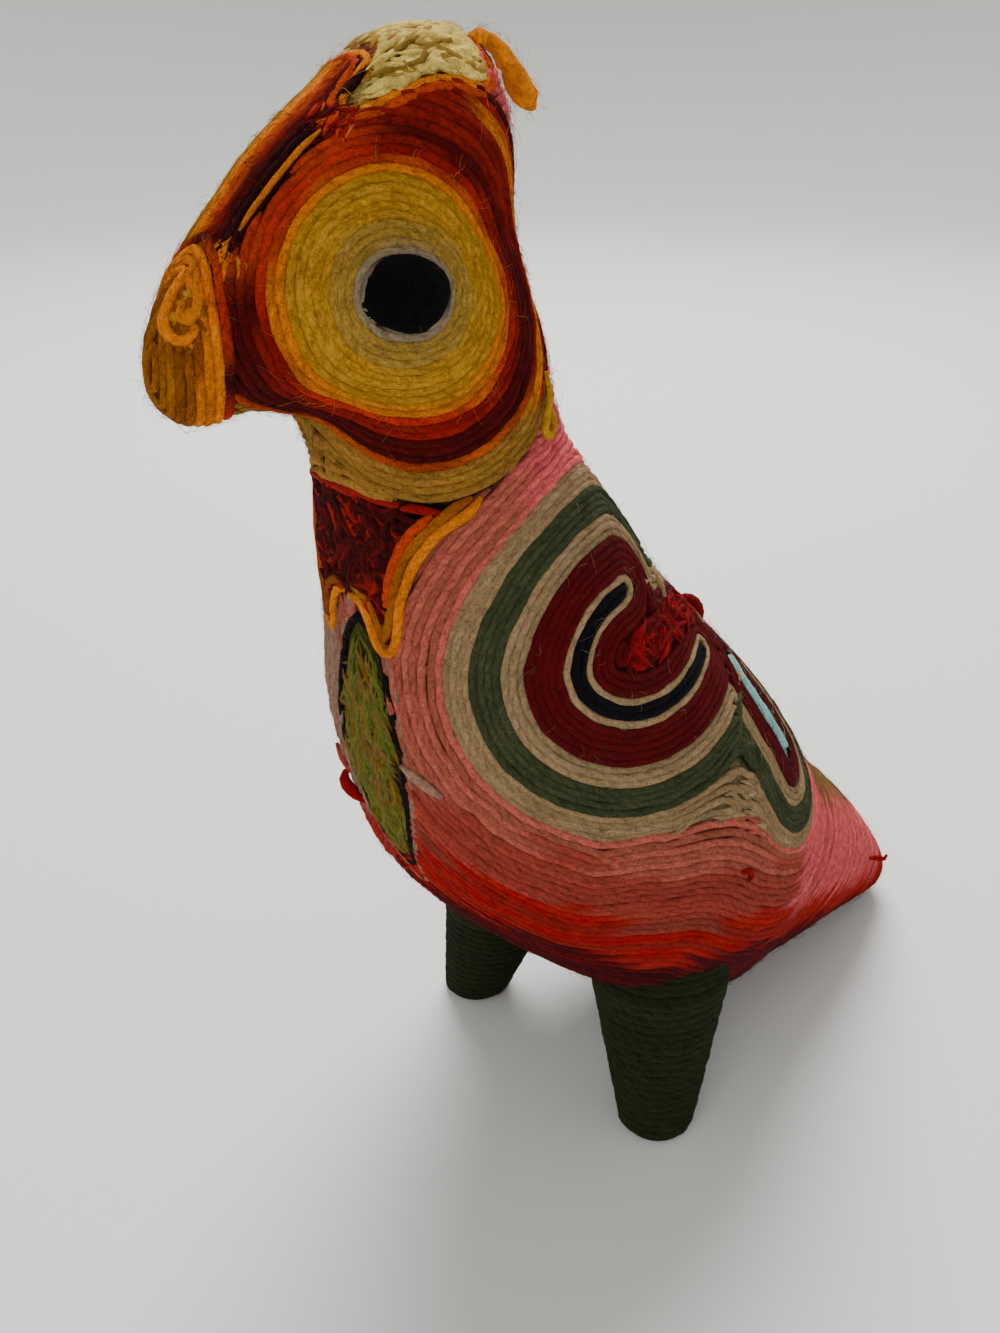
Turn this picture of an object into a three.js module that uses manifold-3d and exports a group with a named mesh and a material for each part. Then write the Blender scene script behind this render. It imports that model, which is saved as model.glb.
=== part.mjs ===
// Yarn-covered bird figurine standing on two cone legs and its tail tip.
// Millimetres, +Z up, table at z = 0. The bird looks along -Y and its left side is +X. Lengths
// along Y are measured from the line between the feet, and the finished group is moved so that
// its origin lies under the middle of its overall size.
import * as THREE from "three";
import { mergeVertices } from "three/addons/utils/BufferGeometryUtils.js";
import Module from "manifold-3d";

const wasm = await Module();
wasm.setup();

// Driving dimensions.
const GAP = 0.3; // air between two touching pieces
const CELL = 4.2; // grid cell that the rounded form is meshed with
const MARGIN = 2.5 * CELL; // air round the form that is meshed with it

const BELLY_Z = 26.8; // height of the flattened belly under the origin
const BELLY_SLOPE = 0.76; // how fast the underside falls towards the tail
const BELLY_EDGE = 11.5; // rounding between flank and flattened belly

const LEG_SPREAD = 28.5; // foot centre from the middle plane
const LEG_LEAN = 6.5; // how far a leg leans inwards on its way up to LEG_TOP
const LEG_BACK = 5.5; // how far it leans back over the same height
const LEG_TOP = 36;
const LEG_ROOT = 54; // where the leg ends inside the body, before it is cut
const SOLE_RADIUS = 5.6;
const SOLE_EDGE = 1.2; // height of the rounded edge of the sole
const FOOT_RADIUS = 6.6; // just above the sole edge
const THIGH_RADIUS = 14; // at LEG_TOP
const LEG_SIDES = 40;

const KNOB = { x: 1, y: 31.3, proud: 1.9, r: 3.7 }; // tuft of wool, its middle proud of the back

const CREST_YARN_RADIUS = 1.15;
const CREST_ARCH = [
  [0, -23.4, 196.6],
  [0, -23, 198.6],
  [0.3, -20.8, 199.6],
  [0.3, -18, 198.2],
  [0, -15.4, 195.4],
];
const CREST_LOBE = { from: [0, -16.6, 197.4], to: [0, -10.4, 189.2], r: 1.85 };
const CREST_ROOT_RADIUS = 1.7;

// Balls that shape the form, all in the middle plane: y, z, radius, and stretch sideways.
const BALLS = {
  tip: [97, 7.9, 8.2, 1.35],
  hip: [70.8, 23, 17.8, 1.15],
  rump: [39.1, 37.7, 29.1, 1],
  belly: [9.4, 57, 40.2, 0.98],
  breast: [-12.6, 90, 33.4, 0.97],
  shoulder: [-20.3, 109.8, 27.6, 0.98],
  neck: [-28.7, 133.3, 20.6, 1],
  nape: [-32.4, 152.2, 15.8, 1.1],
  crown: [-27.4, 193.6, 5.8, 1.1],
  cheek: [-46.1, 165.1, 17.4, 1.17],
  beak: [-68.1, 161.8, 8.5, 1.1],
  bill: [-72.1, 157.8, 6.8, 1.05],
  brow: [-35.4, 186.2, 13.8, 1],
  bridge: [-64.4, 168.6, 7, 1],
};

// Each spine is a smooth row of balls that run into each other, and blend rounds the crease
// where it meets the spines before it.
const SPINES = [
  {
    through: ["tip", "hip", "rump", "belly", "breast", "shoulder", "neck", "nape", "crown"],
    blend: 0,
  },
  { through: ["nape", "cheek", "beak", "bill"], blend: 9 },
  { through: ["brow", "bridge"], blend: 8 },
];
const BALL_SPACING = 2.2; // along a spine

const WOOL = {
  salmon: new THREE.MeshStandardMaterial({ color: 0xd9707a, roughness: 0.95, metalness: 0 }),
  green: new THREE.MeshStandardMaterial({ color: 0x46573c, roughness: 0.95, metalness: 0 }),
  gold: new THREE.MeshStandardMaterial({ color: 0xdf9a1c, roughness: 0.95, metalness: 0 }),
};

// One curve carries y, z and radius, and a second one carries the stretch.
function ballsAlong(names) {
  const curve = (pick) =>
    new THREE.CatmullRomCurve3(
      names.map((name) => new THREE.Vector3(...pick(BALLS[name]))),
      false,
      "catmullrom",
      0.5,
    );
  const shape = curve(([y, z, r]) => [y, z, r]);
  const stretch = curve(([, , , wide]) => [wide, 0, 0]);
  const count = Math.ceil(shape.getLength() / BALL_SPACING);
  const balls = [];
  for (let i = 0; i <= count; i++) {
    const p = shape.getPoint(i / count);
    balls.push({ y: p.x, z: p.y, r: p.z, wide: stretch.getPoint(i / count).x });
  }
  return balls;
}

const ROWS = SPINES.map(({ through, blend }) => ({
  balls: ballsAlong(through),
  blend,
}));

function smoothMin(a, b, k) {
  if (k <= 0) return Math.min(a, b);
  const h = Math.max(k - Math.abs(a - b), 0) / k;
  return Math.min(a, b) - 0.25 * h * h * k;
}

const smoothMax = (a, b, k) => -smoothMin(-a, -b, k);

// The space that holds every ball and the margin. Its sides keep the two halves' cells alike.
const ALL_BALLS = Object.values(BALLS);
const REACH = {
  x: CELL * Math.ceil((Math.max(...ALL_BALLS.map(([, , r, wide]) => r * wide)) + MARGIN) / CELL),
  front: Math.min(...ALL_BALLS.map(([y, , r]) => y - r)) - MARGIN,
  back: Math.max(...ALL_BALLS.map(([y, , r]) => y + r)) + MARGIN,
  low: Math.min(...ALL_BALLS.map(([, z, r]) => z - r)) - MARGIN,
  high: Math.max(...ALL_BALLS.map(([, z, r]) => z + r)) + MARGIN,
};

// Distance to the covered form, negative inside: the rows of balls with the belly flattened.
function formDistance(x, y, z) {
  let d = Infinity;
  for (const { balls, blend } of ROWS) {
    let row = Infinity;
    for (const b of balls)
      row = Math.min(row, Math.hypot(x / b.wide, y - b.y, z - b.z) - b.r);
    d = smoothMin(d, row, blend);
  }
  const under = (BELLY_Z - BELLY_SLOPE * y - z) / Math.hypot(1, BELLY_SLOPE);
  return smoothMax(d, under, BELLY_EDGE);
}

// Height of the form's upper side over a point of the table.
function topOfForm(x, y) {
  let z = REACH.high;
  for (let pass = 0; pass < 200; pass++) z -= formDistance(x, y, z);
  return z;
}

// Slides a point along the slope of the field until it lies on the surface, within one cell.
function ontoSurface(field, start) {
  const probe = 0.05;
  const p = start.clone();
  for (let pass = 0; pass < 4; pass++) {
    const slope = new THREE.Vector3(
      field(p.x + probe, p.y, p.z) - field(p.x - probe, p.y, p.z),
      field(p.x, p.y + probe, p.z) - field(p.x, p.y - probe, p.z),
      field(p.x, p.y, p.z + probe) - field(p.x, p.y, p.z - probe),
    ).divideScalar(2 * probe);
    p.addScaledVector(slope, -field(p.x, p.y, p.z) / (slope.lengthSq() || 1));
    p.sub(start).clampLength(0, 0.45 * CELL).add(start);
  }
  return p;
}

// Turns a distance field into one closed mesh: a vertex in each grid cell that the surface
// crosses, moved onto the surface, and a quad across each crossed grid edge.
function meshField(field) {
  const low = new THREE.Vector3(-REACH.x + CELL / 2, REACH.front, REACH.low);
  const nx = Math.round((2 * REACH.x) / CELL);
  const ny = Math.ceil((REACH.back - REACH.front) / CELL) + 1;
  const nz = Math.ceil((REACH.high - REACH.low) / CELL) + 1;
  const strides = [1, nx, nx * ny];
  const place = (i, j, k) =>
    new THREE.Vector3(i, j, k).multiplyScalar(CELL).add(low);

  const value = new Float64Array(nx * ny * nz);
  const forEachNode = (from, margin, visit) => {
    for (let k = from; k < nz - margin; k++)
      for (let j = from; j < ny - margin; j++)
        for (let i = from; i < nx - margin; i++)
          visit(i, j, k, i + j * strides[1] + k * strides[2]);
  };
  forEachNode(0, 0, (i, j, k, node) => {
    const p = place(i, j, k);
    value[node] = field(p.x, p.y, p.z);
  });

  const vertexOf = new Map();
  const positions = [];
  forEachNode(0, 1, (i, j, k, node) => {
    const sum = new THREE.Vector3();
    let crossings = 0;
    for (let axis = 0; axis < 3; axis++)
      for (let edge = 0; edge < 4; edge++) {
        const corner = [0, 0, 0];
        corner[(axis + 1) % 3] = edge & 1;
        corner[(axis + 2) % 3] = edge >> 1;
        const a = node + corner.reduce((s, c, n) => s + c * strides[n], 0);
        const v0 = value[a];
        const v1 = value[a + strides[axis]];
        if (v0 < 0 === v1 < 0) continue;
        corner[axis] = v0 / (v0 - v1);
        sum.add(new THREE.Vector3(i + corner[0], j + corner[1], k + corner[2]));
        crossings++;
      }
    if (!crossings) return;
    sum.divideScalar(crossings);
    const p = ontoSurface(field, place(sum.x, sum.y, sum.z));
    vertexOf.set(node, positions.length / 3);
    positions.push(p.x, p.y, p.z);
  });

  const index = [];
  forEachNode(1, 1, (i, j, k, node) => {
    for (let axis = 0; axis < 3; axis++) {
      const inside = value[node] < 0;
      if (inside === value[node + strides[axis]] < 0) continue;
      const u = strides[(axis + 1) % 3];
      const v = strides[(axis + 2) % 3];
      const ring = [node - u - v, node - v, node, node - u].map((cell) =>
        vertexOf.get(cell),
      );
      if (!inside) ring.reverse();
      const [a, b, c, d] = ring;
      index.push(a, b, c, a, c, d);
    }
  });
  const geometry = new THREE.BufferGeometry();
  geometry.setAttribute("position", new THREE.Float32BufferAttribute(positions, 3));
  geometry.setIndex(index);
  return geometry;
}

// A closed three.js geometry as a solid that can be joined and cut.
function solidOf(geometry) {
  const bare = geometry.clone();
  bare.deleteAttribute("normal");
  bare.deleteAttribute("uv");
  const merged = mergeVertices(bare, 1e-4);
  return new wasm.Manifold(
    new wasm.Mesh({
      numProp: 3,
      vertProperties: new Float32Array(merged.attributes.position.array),
      triVerts: new Uint32Array(merged.index.array),
    }),
  );
}

function meshOf(solid, name, material) {
  const made = solid.getMesh();
  const geometry = new THREE.BufferGeometry();
  geometry.setAttribute(
    "position",
    new THREE.BufferAttribute(new Float32Array(made.vertProperties), 3),
  );
  geometry.setIndex(new THREE.BufferAttribute(new Uint32Array(made.triVerts), 1));
  geometry.computeVertexNormals();
  const mesh = new THREE.Mesh(geometry, material);
  mesh.name = name;
  return mesh;
}

// Everything below the table, which gives the tail tip its flat resting spot.
function underTable() {
  const depth = MARGIN - REACH.low;
  const side = 2 * (REACH.back - REACH.front);
  return solidOf(new THREE.BoxGeometry(side, side, depth).translate(0, 0, -depth / 2));
}

function bodySolid() {
  const knob = new THREE.SphereGeometry(KNOB.r, 20, 14);
  knob.translate(KNOB.x, KNOB.y, topOfForm(KNOB.x, KNOB.y) + KNOB.proud);
  return solidOf(meshField(formDistance)).add(solidOf(knob)).subtract(underTable());
}

// A cone leg on a flat round-edged sole. It leans inwards and back on its way up.
function legSolid(side) {
  const slope = (THIGH_RADIUS - FOOT_RADIUS) / LEG_TOP;
  const profile = [
    [0, 0],
    [SOLE_RADIUS, 0],
    [SOLE_RADIUS + 0.7 * (FOOT_RADIUS - SOLE_RADIUS), 0.35 * SOLE_EDGE],
    [FOOT_RADIUS, SOLE_EDGE],
    [FOOT_RADIUS + slope * LEG_TOP, LEG_TOP],
    [FOOT_RADIUS + slope * LEG_ROOT, LEG_ROOT],
    [0, LEG_ROOT],
  ].map(([r, z]) => new THREE.Vector2(r, z));
  const leg = new THREE.LatheGeometry(profile, LEG_SIDES).rotateX(Math.PI / 2);
  const lean = new THREE.Matrix4().set(
    1, 0, (-side * LEG_LEAN) / LEG_TOP, side * LEG_SPREAD,
    0, 1, LEG_BACK / LEG_TOP, 0,
    0, 0, 1, 0,
    0, 0, 0, 1,
  );
  return solidOf(leg.applyMatrix4(lean));
}

// The felted yarn on the crown: a thin arch from a round root, ending in a thick hanging lobe.
function crestSolid() {
  const arch = new THREE.CatmullRomCurve3(CREST_ARCH.map((p) => new THREE.Vector3(...p)));
  const section = new THREE.Shape().absarc(0, 0, CREST_YARN_RADIUS, 0, 2 * Math.PI);
  const yarn = new THREE.ExtrudeGeometry(section, {
    steps: 14,
    curveSegments: 5,
    bevelEnabled: false,
    extrudePath: arch,
  });
  const from = new THREE.Vector3(...CREST_LOBE.from);
  const to = new THREE.Vector3(...CREST_LOBE.to);
  const run = to.clone().sub(from);
  const lobe = new THREE.SphereGeometry(1, 12, 10)
    .scale(CREST_LOBE.r, run.length() / 2, CREST_LOBE.r)
    .applyQuaternion(
      new THREE.Quaternion().setFromUnitVectors(
        new THREE.Vector3(0, 1, 0),
        run.clone().normalize(),
      ),
    )
    .translate(...from.add(to).divideScalar(2).toArray());
  const root = new THREE.SphereGeometry(CREST_ROOT_RADIUS, 10, 8);
  root.translate(...CREST_ARCH[0]);
  return solidOf(yarn).add(solidOf(lobe)).add(solidOf(root));
}

// The same form grown by the gap cuts what touches the body.
const grown = solidOf(meshField((x, y, z) => formDistance(x, y, z) - GAP));

const group = new THREE.Group();
group.add(meshOf(bodySolid(), "bird_body", WOOL.salmon));
group.add(meshOf(legSolid(1).subtract(grown), "left_leg", WOOL.green));
group.add(meshOf(legSolid(-1).subtract(grown), "right_leg", WOOL.green));
group.add(meshOf(crestSolid().subtract(grown), "crest_tuft", WOOL.gold));

const middle = new THREE.Box3().setFromObject(group).getCenter(new THREE.Vector3());
group.position.set(-middle.x, -middle.y, 0);

export default group;
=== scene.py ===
import math

import bmesh
import bpy
import numpy as np
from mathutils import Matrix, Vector
from mathutils.bvhtree import BVHTree


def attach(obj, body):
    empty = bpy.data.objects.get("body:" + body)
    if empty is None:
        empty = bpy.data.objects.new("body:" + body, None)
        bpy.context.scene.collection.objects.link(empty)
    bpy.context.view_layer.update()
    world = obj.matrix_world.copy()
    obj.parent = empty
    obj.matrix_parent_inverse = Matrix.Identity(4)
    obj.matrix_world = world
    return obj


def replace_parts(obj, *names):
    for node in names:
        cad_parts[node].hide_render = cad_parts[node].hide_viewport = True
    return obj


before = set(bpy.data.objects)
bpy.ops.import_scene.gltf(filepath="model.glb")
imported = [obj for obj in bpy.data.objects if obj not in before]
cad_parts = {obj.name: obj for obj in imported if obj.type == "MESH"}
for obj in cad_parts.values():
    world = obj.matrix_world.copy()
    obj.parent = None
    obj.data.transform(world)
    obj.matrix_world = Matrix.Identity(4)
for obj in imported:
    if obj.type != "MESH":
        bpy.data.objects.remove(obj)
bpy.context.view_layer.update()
rng = np.random.default_rng(11)

# Lengths are millimetres in the frame's axes until a mesh is made. The bird looks along -Y,
# and its left side, +X, is the near side in the photograph.
MM = 0.001
FAR = 1e4

# The photograph's camera.
IMAGE_WIDTH, IMAGE_HEIGHT = 1000, 1333
FOCAL_PIXELS = 1400
SENSOR = 36.0
CAMERA_PLACE = Vector((172.2, -177.05, 205.0))
CAMERA_AHEAD = Vector((-0.6862, 0.5851, -0.4321)).normalized()

# Yarn.
PITCH = 1.28  # from one strand's middle to the next
STRAND_WIDTH = 1.5
STRAND_HEIGHT = 1.12
STEP = 1.3  # between two rings of a strand
ROUND = [-28, 14, 52, 90, 128, 166, 208]  # degrees round a strand, most of them on its outer half
WISP_ROUND = [-20, 35, 90, 145, 200]
HAIR_ROUND = [90, 210, 330]
HAIR_WIDTH, HAIR_RINGS = 0.065, 5
TWIST = 3.0  # length of one turn of the ply
STREAK_LENGTH, DRIFT_LENGTH, TONE_LENGTH = 22, 14, 9  # how far a colour's changes reach along a strand
ABOVE_FLOOR = 0.02  # no strand reaches lower than this
START_REACH = 5.0  # within this of a curve, distances to it are straight ones

# The wool lies thicker on the forehead. The solid's tuft on the back is cut out, for loops of yarn.
FOREHEAD = np.array([0.5, -69.0, 187.0])
FOREHEAD_RISE, FOREHEAD_SPREAD = 2.1, 11.0
KNOB_PLACE, KNOB_RADIUS, KNOB_CLEAR = Vector((1.0, 18.05, 94.4)), 3.7, 0.4
SAME_PLACE = 0.01  # corners that are nearer than this are one


def srgb(text):
    """A colour such as "d0604c" as linear red, green and blue."""
    parts = np.array([int(text[i:i + 2], 16) for i in (0, 2, 4)]) / 255
    return np.where(parts > 0.04045, ((parts + 0.055) / 1.055) ** 2.4, parts / 12.92)


# name: (colour, the colour that hand-dyed strands drift towards, how far they go)
WOOL = {
    "black": ("020203", "black", 0),
    "offwhite": ("a8977f", "pale", 0.5),
    "pale": ("b68d38", "olive", 0.5),
    "olive": ("7a5a14", "olive", 0),
    "gold": ("c68c14", "pale", 0.45),
    "orange": ("ee8408", "amber", 0.35),
    "redorange": ("c22606", "orange", 0.4),
    "brick": ("b42c10", "orange", 0.15),
    "red": ("860c08", "brick", 0.5),
    "maroon": ("450302", "red", 0.4),
    "plum": ("2e0306", "plum", 0),
    "amber": ("8f4403", "gold", 0.5),
    "crown": ("ffde74", "tan", 0.4),
    "ring": ("a87830", "olive", 0.6),
    "brown": ("280101", "red", 0.3),
    "leaf": ("646a20", "tan", 0.3),
    "navy": ("0c0a12", "navy", 0),
    "palepink": ("9c7560", "palepink", 0),
    "salmon": ("a0563e", "pink", 0.35),
    "rose": ("a33b30", "salmon", 0.3),
    "vermilion": ("ab0805", "rose", 0.4),
    "wine": ("42030a", "vermilion", 0.25),
    "pink": ("ee626a", "salmon", 0.4),
    "cream": ("ab8f6a", "tan", 0.45),
    "tan": ("806030", "tan", 0),
    "green": ("383e24", "sage", 0.35),
    "sage": ("6c6e4e", "sage", 0),
    "crimson": ("600308", "brown", 0.3),
    "scarlet": ("980a10", "crimson", 0.6),
    "teal": ("9fd8d0", "teal", 0),
    "legs": ("262a13", "legs", 0),
    "crest": ("f99004", "crest", 0),
}
NAMES = list(WOOL)


def code(name):
    """A colour's row in the tables of colours."""
    return NAMES.index(name)


PLAIN = np.array([srgb(text) for text, _, _ in WOOL.values()])
PARTNER = np.array([PLAIN[code(towards)] for _, towards, _ in WOOL.values()])
SHARE = np.array([share for _, _, share in WOOL.values()])


def one_colour(name):
    """A colouring that gives a whole strand one colour."""
    return lambda distance, f, p: np.full(len(distance), code(name))


def pick(table, distance):
    """Colour numbers for distances, from a table of (first distance, colour name)."""
    out = np.zeros(len(distance), int)
    for first, name in table:
        out[distance >= first] = code(name)
    return out


def ramp(values, start, end):
    """0 up to start, 1 from end on, and straight between them."""
    return np.clip((values - start) / (end - start), 0, 1)


def unit(v):
    """A vector, or each of some rows of them, at length 1."""
    if v.ndim == 1:
        return v / max(np.linalg.norm(v), 1e-9)
    return v / np.maximum(np.linalg.norm(v, axis=1), 1e-9)[:, None]


def linked(name, data):
    """A new object in the scene."""
    obj = bpy.data.objects.new(name, data)
    bpy.context.scene.collection.objects.link(obj)
    return obj


def mesh_of(name, places, faces):
    """A new mesh from places in millimetres."""
    mesh = bpy.data.meshes.new(name)
    mesh.from_pydata((np.array(places) * MM).tolist(), [], faces)
    return mesh


# The body's surface.


class Surface:
    """A triangle mesh that knows its neighbours, so that distances can be spread over it."""

    def __init__(self, places, normals, triangles):
        self.v, self.n, self.t = places, normals, triangles
        self.tree = BVHTree.FromPolygons([Vector(p) for p in places], triangles.tolist())
        ends = np.sort(triangles[:, [0, 1, 1, 2, 2, 0]].reshape(-1, 2), axis=1)
        self.edges, edge_of = np.unique(ends, axis=0, return_inverse=True)
        self.tri_edges = edge_of.reshape(-1, 3)
        corner = triangles.T.ravel()
        a = triangles[:, [1, 2, 0]].T.ravel()
        b = triangles[:, [2, 0, 1]].T.ravel()
        order = np.argsort(corner, kind="stable")
        corner, a, b = corner[order], a[order], b[order]
        self.a, self.b = a, b
        self.starts = np.searchsorted(corner, np.arange(len(places)))
        ea, eb = places[a] - places[corner], places[b] - places[corner]
        aa, bb, ab = (ea * ea).sum(1), (eb * eb).sum(1), (ea * eb).sum(1)
        det = np.maximum(aa * bb - ab * ab, 1e-9)
        self.qaa, self.qbb, self.qab = bb / det, aa / det, -ab / det
        self.la, self.lb = np.sqrt(aa), np.sqrt(bb)

    def spread(self, start):
        """Distance over the surface, from vertices where it is given in start, and FAR elsewhere."""
        t = start.copy()
        total = self.qaa + self.qbb + 2 * self.qab
        for _ in range(500):
            ta, tb = t[self.a], t[self.b]
            qa = self.qaa * ta + self.qab * tb
            qb = self.qab * ta + self.qbb * tb
            half = qa + qb
            under = half * half - total * (ta * qa + tb * qb - 1)
            root = (half + np.sqrt(np.maximum(under, 0))) / total
            na = self.qaa * (ta - root) + self.qab * (tb - root)
            nb = self.qab * (ta - root) + self.qbb * (tb - root)
            good = (under >= 0) & (na <= 0) & (nb <= 0)
            by_edge = np.minimum(ta + self.la, tb + self.lb)
            reached = np.minimum.reduceat(np.where(good, root, by_edge), self.starts)
            new = np.minimum(reached, t)
            done = (t - new).max() < 1e-3
            t = new
            if done:
                break
        return t

    def smooth(self, values, rounds):
        """Values averaged with their neighbours' again and again."""
        e0, e1 = self.edges.T
        count = np.bincount(np.r_[e0, e1], minlength=len(self.v))
        for _ in range(rounds):
            around = np.bincount(e0, values[e1], len(self.v)) + np.bincount(e1, values[e0], len(self.v))
            values = 0.5 * values + 0.5 * around / count
        return values

    def land(self, points):
        """The nearest places on the surface, and the normals there."""
        places, normals = np.empty_like(points), np.empty_like(points)
        for i, p in enumerate(points):
            place, _, face, _ = self.tree.find_nearest(Vector(p))
            corners = self.t[face]
            gaps = 1 / (np.linalg.norm(self.v[corners] - place, axis=1) + 0.05)
            places[i] = place
            normals[i] = unit((self.n[corners] * gaps[:, None]).sum(0))
        return places, normals

    def land_one(self, point):
        places, normals = self.land(point[None])
        return places[0], normals[0]

    def read(self, fields, places):
        """The values of some fields at places on the surface."""
        out = {name: np.empty(len(places)) for name in fields}
        for i, p in enumerate(places):
            _, _, face, _ = self.tree.find_nearest(Vector(p))
            corners = self.t[face]
            gaps = 1 / (np.linalg.norm(self.v[corners] - p, axis=1) + 0.02)
            share = gaps / gaps.sum()
            for name, values in fields.items():
                out[name][i] = (values[corners] * share).sum()
        return out

    def corners(self, triangles):
        return (self.v[self.t[triangles, k]] for k in range(3))

    def areas(self, triangles):
        a, b, c = self.corners(triangles)
        return np.linalg.norm(np.cross(b - a, c - a), axis=1) / 2


def rounded_surface(node, drop=None):
    """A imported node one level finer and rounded, without what lies in the ball drop: (middle, radius)."""
    bm = bmesh.new()
    bm.from_mesh(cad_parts[node].data)
    bmesh.ops.scale(bm, vec=(1 / MM,) * 3, verts=bm.verts)
    bmesh.ops.remove_doubles(bm, verts=bm.verts, dist=SAME_PLACE)
    if drop:
        middle, radius = drop
        inside = [v for v in bm.verts if (v.co - middle).length < radius]
        bmesh.ops.delete(bm, geom=inside, context="VERTS")
        bmesh.ops.holes_fill(bm, edges=[e for e in bm.edges if e.is_boundary], sides=0)
    bmesh.ops.triangulate(bm, faces=bm.faces)
    mesh = bpy.data.meshes.new("base")
    bm.to_mesh(mesh)
    bm.free()
    obj = linked("base", mesh)
    finer = obj.modifiers.new("finer", "SUBSURF")
    finer.levels = 1
    done = obj.evaluated_get(bpy.context.evaluated_depsgraph_get()).to_mesh()
    bm = bmesh.new()
    bm.from_mesh(done)
    bmesh.ops.triangulate(bm, faces=bm.faces)
    bm.normal_update()
    for v in bm.verts:
        gap = (v.co - Vector(FOREHEAD)).length / FOREHEAD_SPREAD
        v.co += v.normal * FOREHEAD_RISE * math.exp(-gap * gap)
    bm.normal_update()
    places = np.array([v.co for v in bm.verts], float)
    normals = np.array([v.normal for v in bm.verts], float)
    triangles = np.array([[v.index for v in f.verts] for f in bm.faces])
    bm.free()
    bpy.data.objects.remove(obj)
    return Surface(places, normals, triangles)


body = rounded_surface("bird_body", (KNOB_PLACE, KNOB_RADIUS + KNOB_CLEAR))
crest = rounded_surface("crest_tuft")
CAMERA_SIDE = CAMERA_AHEAD.cross(Vector((0, 0, 1))).normalized()
CAMERA_UP = CAMERA_SIDE.cross(CAMERA_AHEAD)


def seen_at(x, y):
    """Where the body's surface shows at a pixel of the photograph."""
    across, down = x - IMAGE_WIDTH / 2, y - IMAGE_HEIGHT / 2
    ray = (CAMERA_AHEAD * FOCAL_PIXELS + CAMERA_SIDE * across - CAMERA_UP * down).normalized()
    place = body.tree.ray_cast(CAMERA_PLACE, ray)[0]
    if place is None:
        raise ValueError(f"nothing of the body shows at pixel {x}, {y}")
    return np.array(place)


def seen_along(pixels):
    return np.array([seen_at(x, y) for x, y in pixels])


def mirrored(points):
    return points * np.array([-1, 1, 1])


def away_from(curve, places):
    """Distance of each place to a row of points joined by straight lines."""
    if len(curve) == 1:
        return np.linalg.norm(places - curve[0], axis=1)
    best = np.full(len(places), FAR)
    for p, q in zip(curve[:-1], curve[1:]):
        run = q - p
        share = np.clip((places - p) @ run / (run @ run), 0, 1)
        best = np.minimum(best, np.linalg.norm(places - p - share[:, None] * run, axis=1))
    return best


def both_sides(curve):
    """Start values round a curve and its mirror image."""
    near = np.minimum(away_from(curve, body.v), away_from(mirrored(curve), body.v))
    return np.where(near < START_REACH, near, FAR)


# The pattern's curves, as pixels of the photograph.
PUPIL = [(408, 294)]
PUPIL_CORNERS = [(396, 294), (420, 294)]
WING_HOOK = [
    (626, 588), (607, 603), (592, 622), (581, 650), (576, 674), (584, 695),
    (605, 710), (632, 715), (658, 708), (681, 691), (696, 668), (702, 645),
]
WING_CORE = [(640, 652), (662, 625), (684, 606)]
TAIL_STRIPE = [(727, 655), (744, 683), (761, 708), (777, 733), (785, 748)]
LEAF_RIGHT = [(358, 614), (378, 647), (390, 702), (402, 760), (406, 800), (415, 862)]
LEAF_LEFT = [(357, 614), (348, 631), (342, 682), (347, 739), (364, 784), (388, 833), (413, 862)]
FOREHEAD_LINE = [(322, 133), (305, 148), (285, 172), (264, 199), (249, 220), (241, 233)]
CROWN_SPINE = [(351, 104), (375, 83), (405, 60), (437, 53), (466, 61)]
BEAK_LOOPS = [
    [(199, 262), (187, 276), (176, 296), (169, 318), (170, 336), (180, 344), (193, 340), (200, 326)],
    [(197, 284), (201, 300), (197, 315), (186, 322), (180, 312), (187, 300)],
]
BEAK_TUFTS = [(221, 246), (230, 262)]
NAPE_LOOP = [(541, 372), (545, 394), (542, 414), (539, 430), (544, 438), (549, 431), (549, 418),
             (545, 408)]
NOTCH = [("cream", [(736, 667), (737, 690)]), ("green", [(737, 694), (738, 724), (738, 752)])]
CREAM_DRIP = [(651, 571), (655, 580), (659, 590), (662, 598)]
COLLAR_STRANDS = [
    [(480, 496), (474, 509), (443, 528), (422, 551), (410, 575), (402, 598), (400, 618), (399, 638),
     (395, 650), (387, 655), (379, 645), (374, 624), (366, 606), (358, 596), (351, 592)],
    [(472, 496), (451, 510), (431, 527), (414, 544), (402, 564), (396, 585), (392, 605), (390, 625),
     (387, 642), (382, 632), (378, 614), (370, 598), (361, 588), (351, 584)],
    [(432, 514), (414, 528), (404, 542), (396, 560), (390, 580), (388, 598), (386, 612)],
]
COLLAR_RED = [(322, 479), (340, 483), (360, 490), (392, 503), (422, 509), (441, 512)]
COLLAR_TOP = [
    [(321, 461), (338, 465), (356, 473), (376, 486), (398, 498)],
    [(320, 470), (336, 474), (352, 481), (372, 492), (394, 499)],
]
CHEST_STRAND = [(403, 763), (414, 772), (430, 784), (444, 795)]
FLANK_END = [(739, 871), (745, 868), (750, 873), (745, 880)]
THROAT, FOREHEAD_TUFT, BEAK_FRONT = (325, 456), (336, 116), (184, 316)
# Loose ends: where each starts, its steps (right, up and nearer, in millimetres), colour and width.
LOOSE_ENDS = [
    ((368, 803), [(0, 0, 0), (-2.0, 1.5, 0), (-4.0, 3.2, 0), (-4.6, 5.6, 0), (-3.0, 6.4, 0)], "scarlet",
     2.0),
    ((356, 776), [(0, 0, 0), (-2.2, 2.5, 0), (-3.4, 6.0, 0)], "rose", 1.4),
    ((868, 858), [(0, 0, 0), (2.5, 0.2, 0), (4.2, -0.6, 0), (4.6, 0.8, 0)], "scarlet", 1.5),
]

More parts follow.
